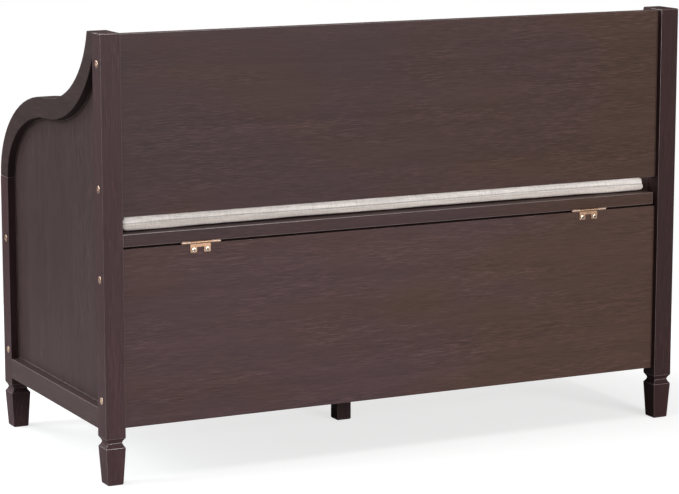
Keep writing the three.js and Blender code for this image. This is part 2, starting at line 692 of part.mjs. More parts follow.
SIDES.forEach((side) => {
  const frame = new THREE.Group();
  frame.add(makePost(side, 'rear'), makePost(side, 'front'));
  frame.add(makeArm(side), makeSideRail(side), makeSidePanel(side));
  bench.add(frame);
});

bench.add(makeBackPanel('lower_back_panel', [STORE_BOTTOM, STORE_TOP], storeBolts, hingeScrewHoles()));
bench.add(makeBackPanel('upper_back_panel', [BACKREST_BOTTOM, BACKREST_TOP], backrestBolts, []));
bench.add(...makeFrontFrame());
bench.add(...makeFloor());
bench.add(...makeBolts());
bench.add(...SIDES.map(makeHinge));
bench.add(makeLid(), makeCushion(), ...makeBumpers());

SIDES.forEach((side) => {
  const stay = new THREE.Group();
  stay.add(makeStayBody(side), makeStayArm(side), makeStayLink(side), makeStayBracket(side));
  bench.add(stay);
});

export default bench;
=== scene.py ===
"""Looks of the storage bench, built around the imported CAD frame.

Metres, in the frame's own axes: +X to the sitter's left, +Y to the back, +Z up.
"""

import math

import bmesh
import bpy
import numpy as np
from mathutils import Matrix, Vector


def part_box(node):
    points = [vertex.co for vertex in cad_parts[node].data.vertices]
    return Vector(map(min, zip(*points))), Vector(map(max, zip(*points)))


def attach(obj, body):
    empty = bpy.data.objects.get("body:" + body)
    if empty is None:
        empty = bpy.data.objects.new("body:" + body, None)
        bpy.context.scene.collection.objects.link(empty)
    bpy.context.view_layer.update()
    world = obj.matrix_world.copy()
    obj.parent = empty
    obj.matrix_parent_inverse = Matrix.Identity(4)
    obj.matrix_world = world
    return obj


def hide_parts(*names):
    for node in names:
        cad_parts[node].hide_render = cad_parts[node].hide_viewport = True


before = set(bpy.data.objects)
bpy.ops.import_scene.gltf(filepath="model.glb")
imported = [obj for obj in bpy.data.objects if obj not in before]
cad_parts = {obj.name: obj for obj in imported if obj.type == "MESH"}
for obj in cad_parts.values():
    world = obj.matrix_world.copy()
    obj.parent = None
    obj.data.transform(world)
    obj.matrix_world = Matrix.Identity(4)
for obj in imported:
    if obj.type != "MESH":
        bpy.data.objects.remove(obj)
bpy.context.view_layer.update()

# ---------------------------------------------------------------- driving values

MM = 0.001
WHITE = (1.0, 1.0, 1.0)

# The camera looks at the bench's back from the sitter's left and a little above. The angles are in
# degrees, and the lens and its sensor in millimetres.
CAMERA_PLACE = (2.0436, 4.0760, 1.1068)
CAMERA_HEADING = 153.374
CAMERA_PITCH = 9.869
CAMERA_LENS = 139.3
CAMERA_SENSOR = 36
CAMERA_CLIP = (0.05, 200)

# Each area light: where it stands, what it faces, its width and height, its power and its tint.
SOFTBOXES = {
    "overhead": ((0.5, 0.0, 3.4), (0, 0, 0.3), (3.0, 3.0), 80, WHITE),
    "key": ((-1.3, 5.2, 1.25), (0, 0, 0.4), (2.4, 1.6), 230, WHITE),
    "side": ((4.2, -0.7, 1.7), (0.4, 0, 0.35), (1.8, 2.2), 152, (0.9, 1.0, 1.02)),
    "front": ((2.6, -3.6, 2.4), (0, 0, 0.3), (2.2, 2.2), 90, WHITE),
}
WORLD_GLOW = 0.13
WORLD_TINT = (1.0, 0.98, 0.96, 1.0)
FLOOR_RADIUS = 1.3
FLOOR_SEGMENTS = 128
FLOOR_TONE = (0.46, 0.46, 0.46, 1.0)
FLOOR_GLOW = 0.69

# Radii of the rounded edges.
EDGE_RADIUS = 1.3 * MM
FRAME_EDGE_RADIUS = 0.6 * MM
FINE_EDGE_RADIUS = 0.35 * MM
BOLT_EDGE_RADIUS = 0.6 * MM
HINGE_EDGE_RADIUS = 0.2 * MM
SCREW_EDGE_RADIUS = 0.15 * MM
STAY_BODY_EDGE_RADIUS = 1.2 * MM
BUMPER_EDGE_RADIUS = 0.4 * MM

# Closer vertices are one, flatter faces are one, and sharper edges are rounded. The angles are in degrees.
WELD_REACH = 0.01 * MM
FLAT_ANGLE = 0.5
SHARP_ANGLE = 32

# The cushion's cover, as cloth over a slab of foam with round corners.
CUSHION_VOXEL = 5 * MM
CUSHION_CORNER = 5 * MM
CUSHION_FRAMES = 20
# The slab's outlines: each one's height, as a share of half the thickness, and how far in it is.
COVER_RINGS = [(-0.92, 4 * MM), (-0.6, 1.5 * MM), (0.0, 1 * MM), (0.5, 1 * MM), (0.9, 4 * MM)]
CLOTH_SETTINGS = {
    "quality": 5,
    "mass": 0.3,
    "tension_stiffness": 18,
    "compression_stiffness": 18,
    "shear_stiffness": 6,
    "bending_stiffness": 0.6,
    "use_pressure": True,
    "uniform_pressure_force": 4.0,
    "vertex_group_shrink": "seam",
    "shrink_min": 0.0,
    "shrink_max": 0.05,
}

# How much of the simulated bulge is kept: its limit, its share below the seam, and its loss at a corner.
CUSHION_CAP = 22 * MM
LOWER_SHARE = 0.12
SHARE_BLUR = 3 * MM
CORNER_LOSS = 0.9
CORNER_REACH = 60 * MM
RELAX_ROUNDS = 10
RELAX_SHARE = 0.5

# How high the top may stand over the slab's own top, and how softly it comes up from the edges.
CUSHION_CROWN = 12 * MM
CROWN_REACH = 120 * MM
CROWN_SOFTNESS = 1.2 * MM
CROWN_START = 1.0 * MM

# The air beside the cushion, how far its sides pull in, and how far its upper and lower rims do.
CUSHION_ROOM = 0.4 * MM
WAIST_DEPTH = 2.5 * MM
UPPER_TAPER = 4 * MM
LOWER_TAPER = 1.5 * MM

# The seam's level, as a share of half the thickness, and its slow wander up and down.
SEAM_LEVEL = -0.31
SEAM_WANDER = -1.0 * MM
SEAM_TURNS = 9.0
SEAM_SLANT = 0.7

# The shapes of the cushion's edge and top. Widths, starts and reaches are levels, as a share of half the
# thickness. Turns are radians to a metre round the edge, and leans are radians to a level.
SEAM_DEPTH = 2.2 * MM
SEAM_WIDTH = 0.15
PUCKER_DEPTH = 0.5 * MM
PUCKER_WIDTH = 0.45
PUCKER_TURNS = 210.0
PUCKER_DRIFT = 33.0
FOLD_DEPTH = 0.8 * MM
FOLD_BASE = 1.4
FOLD_TURNS = 17.0
FOLD_DRIFT = 7.0
FOLD_LEAN = 12.0
FINE_FOLD_SHARE = 0.4
FINE_FOLD_TURNS = 29.0
FINE_FOLD_LEAN = 22.0
DRIFT_SWING = 2.0
LEAST_CREASE = 0.3
SHOULDER_DEPTH = 3.5 * MM
SHOULDER_START = 0.16
SHOULDER_REACH = 0.55
BELLY_DEPTH = 0.9 * MM
BELLY_START = 0.1
BELLY_REACH = 0.75
BELLY_CURVE = 1.5
SLACK_DEPTH = 0.8 * MM


def node_names(*endings):
    """The CAD nodes whose names end in any of the given words, in order."""
    return sorted(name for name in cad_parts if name.endswith(endings))


# ---------------------------------------------------------------- shader helpers

NOISE_LOW = 0.3
NOISE_HIGH = 0.7
PLAIN_ORDER = ("X", "Y", "Z")
GRAIN_ORDER = {"x": PLAIN_ORDER, "y": ("Y", "X", "Z"), "z": ("Z", "X", "Y")}
EDGE_MARK = "rounded_edge"


class Shader:
    """A material with a Principled shader, and short ways to add and link nodes."""

    def __init__(self, name):
        self.material = bpy.data.materials.new(name)
        self.material.use_nodes = True
        self.nodes = self.material.node_tree.nodes
        self.links = self.material.node_tree.links
        self.surface = self.nodes["Principled BSDF"]

    def feed(self, socket, value):
        """Links an output to a socket, or sets the socket to a number or colour."""
        if isinstance(value, bpy.types.NodeSocket):
            self.links.new(value, socket)
        else:
            socket.default_value = value

    def set(self, **values):
        """Feeds inputs of the Principled shader, named with underscores for spaces."""
        for name, value in values.items():
            self.feed(self.surface.inputs[name.replace("_", " ")], value)

    def add(self, kind, inputs=(), **settings):
        node = self.nodes.new(kind)
        for name, value in settings.items():
            setattr(node, name, value)
        for name, value in dict(inputs).items():
            self.feed(node.inputs[name], value)
        return node

    def maths(self, operation, first, second=0.0):
        node = self.nodes.new("ShaderNodeMath")
        node.operation = operation
        for socket, value in zip(node.inputs, (first, second)):
            self.feed(socket, value)
        return node.outputs[0]

    def product(self, first, *others):
        for value in others:
            first = self.maths("MULTIPLY", first, value)
        return first

    def split(self, vector):
        return self.add("ShaderNodeSeparateXYZ", {"Vector": vector}).outputs

    def coordinates(self, kind="Object"):
        """The separate X, Y and Z of a kind of texture coordinates."""
        return self.split(self.add("ShaderNodeTexCoord").outputs[kind])

    def stretched(self, axis_order, pitch):
        """Object coordinates in the given order of axes, each multiplied by its pitch."""
        parts = self.coordinates()
        inputs = {}
        for name, axis, scale in zip("XYZ", axis_order, pitch):
            inputs[name] = self.product(parts[axis], scale)
        return self.add("ShaderNodeCombineXYZ", inputs).outputs["Vector"]

    def noise(self, axis_order, pitch, detail=2.0, roughness=0.5, distortion=0.0, w=0.0):
        """Noise that repeats about pitch times in a metre, along each of the axes in turn."""
        inputs = {
            "Vector": self.stretched(axis_order, pitch),
            "Scale": 1.0,
            "Detail": detail,
            "Roughness": roughness,
            "Distortion": distortion,
            "W": w,
        }
        return self.add("ShaderNodeTexNoise", inputs, noise_dimensions="4D").outputs["Fac"]

    def remap(self, value, low, high, to_low=0.0, to_high=1.0):
        inputs = {"Value": value, "From Min": low, "From Max": high, "To Min": to_low, "To Max": to_high}
        return self.add("ShaderNodeMapRange", inputs).outputs["Result"]

    def spread(self, noise, low=0.0, high=1.0):
        """Stretches the part of its range that noise mostly fills over the given range."""
        return self.remap(noise, NOISE_LOW, NOISE_HIGH, low, high)

    def between(self, share, low, high):
        """Low where the share is 0 and high where it is 1."""
        return self.remap(share, 0.0, 1.0, low, high)

    def mix(self, factor, first, second, blend="MIX"):
        node = self.nodes.new("ShaderNodeMix")
        node.data_type = "RGBA"
        node.blend_type = blend
        self.feed(node.inputs["Factor"], factor)
        self.feed(node.inputs["A"], first)
        self.feed(node.inputs["B"], second)
        return node.outputs["Result"]

    def scaled(self, tone, amount):
        """A colour made lighter or darker by a factor."""
        node = self.add("ShaderNodeVectorMath", {0: tone}, operation="SCALE")
        self.feed(node.inputs["Scale"], amount)
        return node.outputs["Vector"]

    def edges(self):
        """1 on the rounded edges of a CAD piece and 0 on its faces."""
        return self.add("ShaderNodeAttribute", attribute_name=EDGE_MARK).outputs["Fac"]

    def bump(self, height, distance, strength):
        inputs = {"Height": height, "Distance": distance, "Strength": strength}
        self.set(Normal=self.add("ShaderNodeBump", inputs).outputs["Normal"])

    def paint(self, item):
        item.data.materials.clear()
        item.data.materials.append(self.material)


def colour(red, green, blue):
    return (red, green, blue, 1.0)


def toned(tone, factor):
    return colour(*(part * factor for part in tone[:3]))


# ---------------------------------------------------------------- materials

# Layers of the wood's figure: how often each repeats in a metre, along the grain and twice across it.
CLOUD_PITCH = (3.4, 9.0, 9.0)
STREAK_PITCH = (1.6, 34.0, 34.0)
FIBRE_PITCH = (30.0, 560.0, 560.0)
DASH_PITCH = (48.0, 840.0, 840.0)
ZONE_PITCH = (7.0, 22.0, 22.0)

# The part of a noise's range over which the stain warms, zones and pores open, glints fade, and edge wear and
# painted highlight grow.
STAIN_RANGE = (0.34, 0.66)
ZONE_RANGE = (0.38, 0.62)
PORE_RANGE = (0.53, 0.63)
GLINT_RANGE = (0.36, 0.44)
WEAR_AND_HIGHLIGHT_RANGE = (0.35, 0.65)

# What each layer does to the stain, from its lowest to its highest.
STREAK_SHADE = (0.89, 1.11)
FIBRE_SHADE = (0.84, 1.20)
PORE_SHADE = (1.02, 0.84)
GLINT_SHADE = (1.0, 1.38)

SEED_SPREAD = 40.0
WARM_END = 0.3
QUIET_PORES = 0.35
LEAST_WEAR_AND_HIGHLIGHT = 0.6
FIBRE_RELIEF = 0.5
PORE_RELIEF = 0.7
# The colour that the rounded edges are lightened towards: partly rubbed wear, partly a painted highlight.
EDGE_WEAR_AND_HIGHLIGHT_TONE = colour(0.165, 0.122, 0.112)
WOOD_SPECULAR = 0.1
EDGE_SHINE_FALL = 3
EDGE_ROUGHNESS = 0.28
EDGE_IOR = 2.1

# How far a surface's roughness goes below and above its own value.
SMOOTHER = 0.06
ROUGHER = 0.08

# The height and the strength of each kind of surface's fine relief.
WOOD_BUMP = (0.12 * MM, 0.6)
LINEN_BUMP = (0.5 * MM, 0.7)
METAL_BUMP = (0.01 * MM, 0.4)
MOULD_BUMP = (0.08 * MM, 0.5)

LINEN_PALE = colour(0.97, 0.905, 0.865)
LINEN_DEEP = colour(0.73, 0.66, 0.61)
# Painted shade, multiplied onto the cover below the seam.
LOWER_BAND_PAINTED_SHADE = colour(0.79, 0.765, 0.745)
WEAVE_PITCH = 1.7 * MM
LONG_SLUB_PITCH = (24.0, 420.0, 420.0)
CROSS_SLUB_PITCH = (420.0, 24.0, 60.0)
LINEN_CLOUD_PITCH = (14.0, 14.0, 14.0)
LINEN_STREAK_PITCH = (6.0, 130.0, 130.0)
SLUB_RANGE = (0.72, 1.12)
LINEN_STREAK_RANGE = (0.36, 0.64)
TOP_TILT = (0.55, 0.75)
END_TILT = (0.6, 0.8)
THREAD_SHADE = (0.88, 1.08)
LINEN_CLOUD_SHADE = (0.95, 1.04)
LINEN_STREAK_SHADE = (0.92, 1.10)
SEAM_SHADE = (1.0, 0.6)
SEAM_THREAD = (0.4 * MM, 1.3 * MM)
# How far under the seam the painted shade takes to come in.
LOWER_SHADE_BLEND = 3.0 * MM

BRUSH_PITCH = (150.0, 2600.0, 2600.0)
PATINA_PITCH = (320.0, 320.0, 320.0)
PATINA_RANGE = (0.42, 0.72)
WORN_SHADE = (1.0, 1.35)
# Painted shade in the middle of each screw head: the radii, as shares of the head, over which it fades out,
# and how dark it is inside and outside them.
CENTRE_SHADE_REACH = (0.17, 0.27)
CENTRE_SHADE_DEPTH = (0.12, 1.0)
MOULD_LIGHT = 1.5


def wood_shader(name, grain, dark, light, edge_wear_and_highlight=0.75, roughness=0.48):
    """Dark stained wood under satin lacquer, with fine fibres, short open pores, and edges lightened partly
    by rubbed wear and partly by a painted highlight.
    """
    shader = Shader(name)
    seed = shader.product(shader.add("ShaderNodeObjectInfo").outputs["Random"], SEED_SPREAD)

    def layer(pitch, *settings):
        return shader.noise(GRAIN_ORDER[grain], pitch, *settings, w=seed)

    streaks = layer(STREAK_PITCH, 4.0, 0.6, 0.8)
    fibres = layer(FIBRE_PITCH, 3.0, 0.7)
    dashes = layer(DASH_PITCH, 1.0)
    zones = shader.remap(layer(ZONE_PITCH, 2.0), *ZONE_RANGE)
    pores = shader.product(shader.remap(dashes, *PORE_RANGE), shader.between(zones, QUIET_PORES, 1.0))
    glints = shader.product(shader.remap(dashes, *GLINT_RANGE, 1.0, 0.0), zones)
    warmth = shader.product(shader.coordinates()["X"], WARM_END)
    patches = shader.maths("SUBTRACT", layer(CLOUD_PITCH, 3.0), warmth)
    stain = shader.mix(shader.remap(patches, *STAIN_RANGE), dark, light)
    shade = shader.product(
        shader.spread(streaks, *STREAK_SHADE),
        shader.spread(fibres, *FIBRE_SHADE),
        shader.between(pores, *PORE_SHADE),
        shader.between(glints, *GLINT_SHADE),
    )
    # Rounded edges lightened towards the edge tone: partly rubbed wear, partly a painted highlight.
    edge_wear_and_highlight_share = shader.remap(fibres, *WEAR_AND_HIGHLIGHT_RANGE, LEAST_WEAR_AND_HIGHLIGHT * edge_wear_and_highlight, edge_wear_and_highlight)
    shader.set(
        Base_Color=shader.mix(
            shader.product(shader.edges(), edge_wear_and_highlight_share), shader.scaled(stain, shade), EDGE_WEAR_AND_HIGHLIGHT_TONE
        ),
        Roughness=shader.spread(fibres, roughness - SMOOTHER, roughness + ROUGHER),
        Specular_IOR_Level=WOOD_SPECULAR,
        Coat_Weight=shader.product(shader.edges(), edge_wear_and_highlight**EDGE_SHINE_FALL),
        Coat_Roughness=EDGE_ROUGHNESS,
        Coat_IOR=EDGE_IOR,
    )
    raised = shader.product(fibres, FIBRE_RELIEF)
    sunk = shader.product(pores, PORE_RELIEF)
    shader.bump(shader.maths("SUBTRACT", raised, sunk), *WOOD_BUMP)
    return shader


def weave(shader, x, y, z):
    """The crossing threads of a plain weave, laid flat on the top, the sides and the ends."""
    tilt = shader.coordinates("Normal")
    on_top = shader.remap(shader.maths("ABSOLUTE", tilt["Z"]), *TOP_TILT)
    on_end = shader.remap(shader.maths("ABSOLUTE", tilt["X"]), *END_TILT)
    along = shader.split(shader.mix(on_end, x, y))["X"]
    across = shader.split(shader.mix(on_top, z, y))["X"]
    turns = math.pi / WEAVE_PITCH
    warp = shader.maths("SINE", shader.product(along, turns))
    weft = shader.maths("SINE", shader.product(across, turns))
    return shader.maths("ABSOLUTE", shader.product(warp, weft))


def rise_over_seam(shader, x, y, z, seam_height):
    """How far a point is above the seam, which wanders slowly round the cushion."""
    run = shader.maths("ADD", x, shader.product(y, SEAM_SLANT))
    course = shader.maths("SINE", shader.product(run, SEAM_TURNS))
    straight = shader.maths("SUBTRACT", z, seam_height)
    return shader.maths("SUBTRACT", straight, shader.product(course, SEAM_WANDER))


def linen_shader(name, seam_height):
    """A plain coarse weave with thicker slub threads, in pale beige and grey, a stitched seam, and painted
    shade on the cover below the seam.
    """
    shader = Shader(name)
    x, y, z = shader.coordinates()
    threads = weave(shader, x, y, z)
    rise = rise_over_seam(shader, x, y, z, seam_height)
    seam = shader.remap(shader.maths("ABSOLUTE", rise), *SEAM_THREAD, 1.0, 0.0)
    # Where the painted shade falls: the cover below the seam, coming in just under it.
    below = shader.remap(rise, -LOWER_SHADE_BLEND, 0.0, 1.0, 0.0)
    long_slubs = shader.noise(PLAIN_ORDER, LONG_SLUB_PITCH, 3.0, 0.7)
    cross_slubs = shader.noise(PLAIN_ORDER, CROSS_SLUB_PITCH, 3.0, 0.7, w=7.0)
    clouds = shader.noise(PLAIN_ORDER, LINEN_CLOUD_PITCH, 3.0, w=3.0)
    streaks = shader.noise(PLAIN_ORDER, LINEN_STREAK_PITCH, 2.0, 0.6, 0.5, w=11.0)
    slubs = shader.maths("ADD", long_slubs, cross_slubs)
    mixed = shader.mix(shader.remap(slubs, *SLUB_RANGE), LINEN_DEEP, LINEN_PALE)
    cloth = shader.mix(below, mixed, LOWER_BAND_PAINTED_SHADE, "MULTIPLY")
    streak_shade = shader.remap(streaks, *LINEN_STREAK_RANGE, *LINEN_STREAK_SHADE)
    shade = shader.product(
        shader.between(threads, *THREAD_SHADE),
        shader.product(shader.spread(clouds, *LINEN_CLOUD_SHADE), streak_shade),
        shader.between(seam, *SEAM_SHADE),
    )
    shader.set(
        Base_Color=shader.scaled(cloth, shade),
        Roughness=0.92,
        Specular_IOR_Level=0.2,
        Sheen_Weight=0.25,
        Sheen_Roughness=0.5,
    )
    relief = shader.maths("SUBTRACT", shader.maths("ADD", threads, slubs), seam)
    shader.bump(relief, *LINEN_BUMP)
    return shader


def metal_shader(name, base, aged, roughness, grain="x"):
    """Metal with a brushed grain, a faint darker patina and edges worn bright."""
    shader = Shader(name)
    brushed = shader.noise(GRAIN_ORDER[grain], BRUSH_PITCH)
    patina = shader.noise(PLAIN_ORDER, PATINA_PITCH, 4.0, 0.6)
    tone = shader.mix(shader.remap(patina, *PATINA_RANGE), base, aged)
    shader.set(
        Base_Color=shader.scaled(tone, shader.between(shader.edges(), *WORN_SHADE)),
        Metallic=1.0,
        Roughness=shader.spread(brushed, roughness - SMOOTHER, roughness + ROUGHER),
    )
    shader.bump(brushed, *METAL_BUMP)
    return shader


def shaded_screw_centre(shader):
    """Darkens the middle of a screw head with painted shade, for the shade in the driver's cross."""
    spot = shader.coordinates("Generated")
    squares = []
    for axis in ("X", "Z"):
        offset = shader.maths("SUBTRACT", spot[axis], 0.5)
        squares.append(shader.maths("POWER", offset, 2.0))
    radius = shader.maths("SQRT", shader.maths("ADD", *squares))
    # Painted shade, darkest at the middle of the head.
    painted_centre_shade = shader.remap(radius, *CENTRE_SHADE_REACH, *CENTRE_SHADE_DEPTH)
    unshaded_colour = shader.surface.inputs["Base Color"].links[0].from_socket
    shader.set(Base_Color=shader.scaled(unshaded_colour, painted_centre_shade))
    return shader


def moulded_shader(name, base, roughness, grain_size):
    """Moulded plastic or rubber with a fine spark-eroded grain."""
    shader = Shader(name)
    fine = shader.noise(PLAIN_ORDER, (1.0 / grain_size,) * 3)
    shader.set(
        Base_Color=shader.mix(shader.spread(fine), base, toned(base, MOULD_LIGHT)),
        Roughness=shader.spread(fine, roughness - SMOOTHER, roughness + SMOOTHER),
    )
    shader.bump(fine, *MOULD_BUMP)
    return shader


# ---------------------------------------------------------------- edges of the CAD pieces


def finish_group():
    """A node group for a modifier: marks the faces that the bevel made, and shades the piece smooth."""
    group = bpy.data.node_groups.new("finish_edges", "GeometryNodeTree")
    group.interface.new_socket("Geometry", in_out="INPUT", socket_type="NodeSocketGeometry")
    group.interface.new_socket("Geometry", in_out="OUTPUT", socket_type="NodeSocketGeometry")
    entry = group.nodes.new("NodeGroupInput")
    index = group.nodes.new("GeometryNodeInputMaterialIndex")
    mark = group.nodes.new("GeometryNodeStoreNamedAttribute")
    mark.data_type = "FLOAT"
    mark.domain = "FACE"
    mark.inputs["Name"].default_value = EDGE_MARK
    reset = group.nodes.new("GeometryNodeSetMaterialIndex")
    smooth = group.nodes.new("GeometryNodeSetShadeSmooth")
    leave = group.nodes.new("NodeGroupOutput")
    group.links.new(entry.outputs[0], mark.inputs["Geometry"])
    group.links.new(index.outputs[0], mark.inputs["Value"])
    group.links.new(mark.outputs[0], reset.inputs["Geometry"])
    group.links.new(reset.outputs[0], smooth.inputs["Geometry"])
    group.links.new(smooth.outputs[0], leave.inputs[0])
    return group


FINISH = finish_group()


def ease_edges(item, radius, segments):
    """Rounds the hard edges of a CAD piece with modifiers and shades it as one smooth surface."""
    item.data.materials.append(item.data.materials[0])
    weld = item.modifiers.new("weld", "WELD")
    weld.merge_threshold = WELD_REACH
    flatten = item.modifiers.new("flatten", "DECIMATE")
    flatten.decimate_type = "DISSOLVE"
    flatten.angle_limit = math.radians(FLAT_ANGLE)
    bevel = item.modifiers.new("bevel", "BEVEL")
    bevel.limit_method = "ANGLE"
    bevel.angle_limit = math.radians(SHARP_ANGLE)
    bevel.width = radius
    bevel.segments = segments
    bevel.use_clamp_overlap = True
    bevel.material = 1
    finish = item.modifiers.new("finish", "NODES")
    finish.node_group = FINISH
    normals = item.modifiers.new("normals", "WEIGHTED_NORMAL")
    normals.weight = 50
    normals.keep_sharp = False


# ---------------------------------------------------------------- meshes


def mesh_from(name, build):
    """A mesh that the given function builds, with its faces turned outwards."""
    mesh = bpy.data.meshes.new(name)
    work = bmesh.new()
    build(work)
    bmesh.ops.recalc_face_normals(work, faces=work.faces)
    work.to_mesh(mesh)
    work.free()
    return mesh


def apply_modifiers(item):
    bpy.context.view_layer.update()
    graph = bpy.context.evaluated_depsgraph_get()
    made = bpy.data.meshes.new_from_object(item.evaluated_get(graph))
    item.modifiers.clear()
    item.data = made


def vertex_array(mesh, attribute="co"):
    values = np.empty(len(mesh.vertices) * 3, np.float32)
    mesh.vertices.foreach_get(attribute, values)
    return values.reshape(-1, 3).astype(float)


def set_vertices(mesh, places):
    mesh.vertices.foreach_set("co", places.astype(np.float32).ravel())
    mesh.update()


def remeshed(item, voxel):
    remesh = item.modifiers.new("remesh", "REMESH")
    remesh.mode = "VOXEL"
    remesh.voxel_size = voxel
    remesh.use_smooth_shade = True
    apply_modifiers(item)


def relaxed(mesh, places, share):
    """Moves each point part of the way to the middle of its neighbours, a few times, to lose hard kinks."""
    pairs = np.empty(len(mesh.edges) * 2, np.int32)
    mesh.edges.foreach_get("vertices", pairs)
    start, end = pairs.reshape(-1, 2).T
    count = np.bincount(pairs, minlength=len(places))[:, None]
    for _ in range(RELAX_ROUNDS):
        total = np.zeros_like(places)
        np.add.at(total, start, places[end])
        np.add.at(total, end, places[start])
        places = places + share[:, None] * (total / count - places)
    return places


# ---------------------------------------------------------------- cushion


def rounded_outline(half_x, half_y, radius, steps=5):
    """Points round a rectangle about the origin with round corners, anticlockwise from above."""
    points = []
    for quarter, (x, y) in enumerate([(1, 1), (-1, 1), (-1, -1), (1, -1)]):
        for step in range(steps + 1):
            angle = math.radians(90 * quarter + 90 * step / steps)
            across = x * (half_x - radius) + radius * math.cos(angle)
            deep = y * (half_y - radius) + radius * math.sin(angle)
            points.append((across, deep))
    return points


def cover_mesh(middle, half):
    """The empty cover, drawn over a slab of foam whose sides lean in a little above and below."""
    def build(work):
        loops = []
        for height, inset in COVER_RINGS:
            outline = rounded_outline(half.x - inset, half.y - inset, CUSHION_CORNER)
            z = middle.z + height * half.z
            loops.append([work.verts.new((middle.x + x, middle.y + y, z)) for x, y in outline])
        work.faces.new(list(reversed(loops[0])))
        work.faces.new(loops[-1])
        for lower, upper in zip(loops, loops[1:]):
            for index in range(len(lower)):
                after = (index + 1) % len(lower)
                work.faces.new((lower[index], lower[after], upper[after], upper[index]))

    return mesh_from("seat_cushion_cover", build)


def blow_up(item, seam_height):
    """Fills the cover by cloth simulation, with air inside and a seam that draws in all round."""
    heights = vertex_array(item.data)[:, 2]
    seam = np.flatnonzero(np.abs(heights - seam_height) < CUSHION_VOXEL)
    group = item.vertex_groups.new(name="seam")
    group.add(seam.tolist(), 1.0, "REPLACE")
    cloth = item.modifiers.new("cloth", "CLOTH")
    for name, value in CLOTH_SETTINGS.items():
        setattr(cloth.settings, name, value)
    cloth.settings.effector_weights.gravity = 0
    cloth.point_cache.frame_start = 1
    cloth.point_cache.frame_end = CUSHION_FRAMES
    scene = bpy.context.scene
    for number in range(1, CUSHION_FRAMES + 1):
        scene.frame_set(number)
    apply_modifiers(item)
    scene.frame_set(1)


def fill_cushion(item, seam_height):
    """Blows the cover up and keeps part of the bulge: most above the seam, little below it or at a corner."""
    before = vertex_array(item.data)
    blow_up(item, seam_height)
    moved = vertex_array(item.data) - before
    distance = np.linalg.norm(moved, axis=1, keepdims=True)
    share = np.minimum(1.0, CUSHION_CAP / np.maximum(distance, MM / 1000))
    fullness = 1 / (1 + np.exp(-(before[:, 2] - seam_height) / SHARE_BLUR))
    beside = np.abs(before[:, :2] - before[:, :2].mean(axis=0))
    corner = np.clip((beside - beside.max(axis=0)) / CORNER_REACH + 1, 0, 1).prod(axis=1)
    share *= ((LOWER_SHARE + (1 - LOWER_SHARE) * fullness) * (1 - CORNER_LOSS * np.sqrt(corner)))[:, None]
    set_vertices(item.data, relaxed(item.data, before + moved * share, RELAX_SHARE * fullness))


def fit_cushion(item, middle, half):
    """Brings the filled cushion to its own length and depth, and lays it flat on the lid."""
    places = vertex_array(item.data)
    for axis in (0, 1):
        reach = np.abs(places[:, axis] - middle[axis]).max()
        places[:, axis] = middle[axis] + (places[:, axis] - middle[axis]) * half[axis] / reach
    places[:, 2] = np.maximum(places[:, 2], middle.z - half.z)
    set_vertices(item.data, places)


def edge_depth(along, level):
    """How deep the cushion's edge is pressed in, by the way round it and by the level over its seam."""
    fold = np.sin(along * FOLD_TURNS + FOLD_LEAN * level + DRIFT_SWING * np.sin(along * FOLD_DRIFT))
    fold += FINE_FOLD_SHARE * np.sin(along * FINE_FOLD_TURNS - FINE_FOLD_LEAN * level)
    pucker = np.sin(along * PUCKER_TURNS + DRIFT_SWING * np.sin(along * PUCKER_DRIFT))
    shoulder = np.clip((level - SHOULDER_START) / SHOULDER_REACH, 0, 1)
    belly = np.clip((-level - BELLY_START) / BELLY_REACH, 0, 1)
    near_seam = np.exp(-((level / SEAM_WIDTH) ** 2))
    beside_seam = np.exp(-((level / PUCKER_WIDTH) ** 2)) - near_seam
    creases = np.clip(level / SEAM_WIDTH, LEAST_CREASE, 1)
    depth = SEAM_DEPTH * near_seam + PUCKER_DEPTH * pucker * beside_seam
    depth += (
        SHOULDER_DEPTH * shoulder
        + FOLD_DEPTH * (FOLD_BASE + fold) * creases
        + BELLY_DEPTH * belly**BELLY_CURVE
    )
    return depth


def dress_cushion(item, middle, half):
    """Shapes the edge round its seam, with soft folds and puckers, and gives the top a little slack."""
    mesh = item.data
    places = vertex_array(mesh)
    normals = vertex_array(mesh, "normal")
    x = places[:, 0] - middle.x
    y = places[:, 1] - middle.y
    along = x + SEAM_SLANT * y
    level = (places[:, 2] - middle.z - SEAM_WANDER * np.sin(along * SEAM_TURNS)) / half.z - SEAM_LEVEL
    sideways = np.hypot(normals[:, 0], normals[:, 1])
    places -= normals * (edge_depth(along, level) * sideways)[:, None]
    slack = np.sin(x * 11.0 + 1.3) * np.sin(y * 17.0 + 0.4) + 0.5 * np.sin(x * 27.0 - y * 19.0)
    places[:, 2] += SLACK_DEPTH * slack * np.clip(normals[:, 2], 0, 1)
    set_vertices(mesh, places)


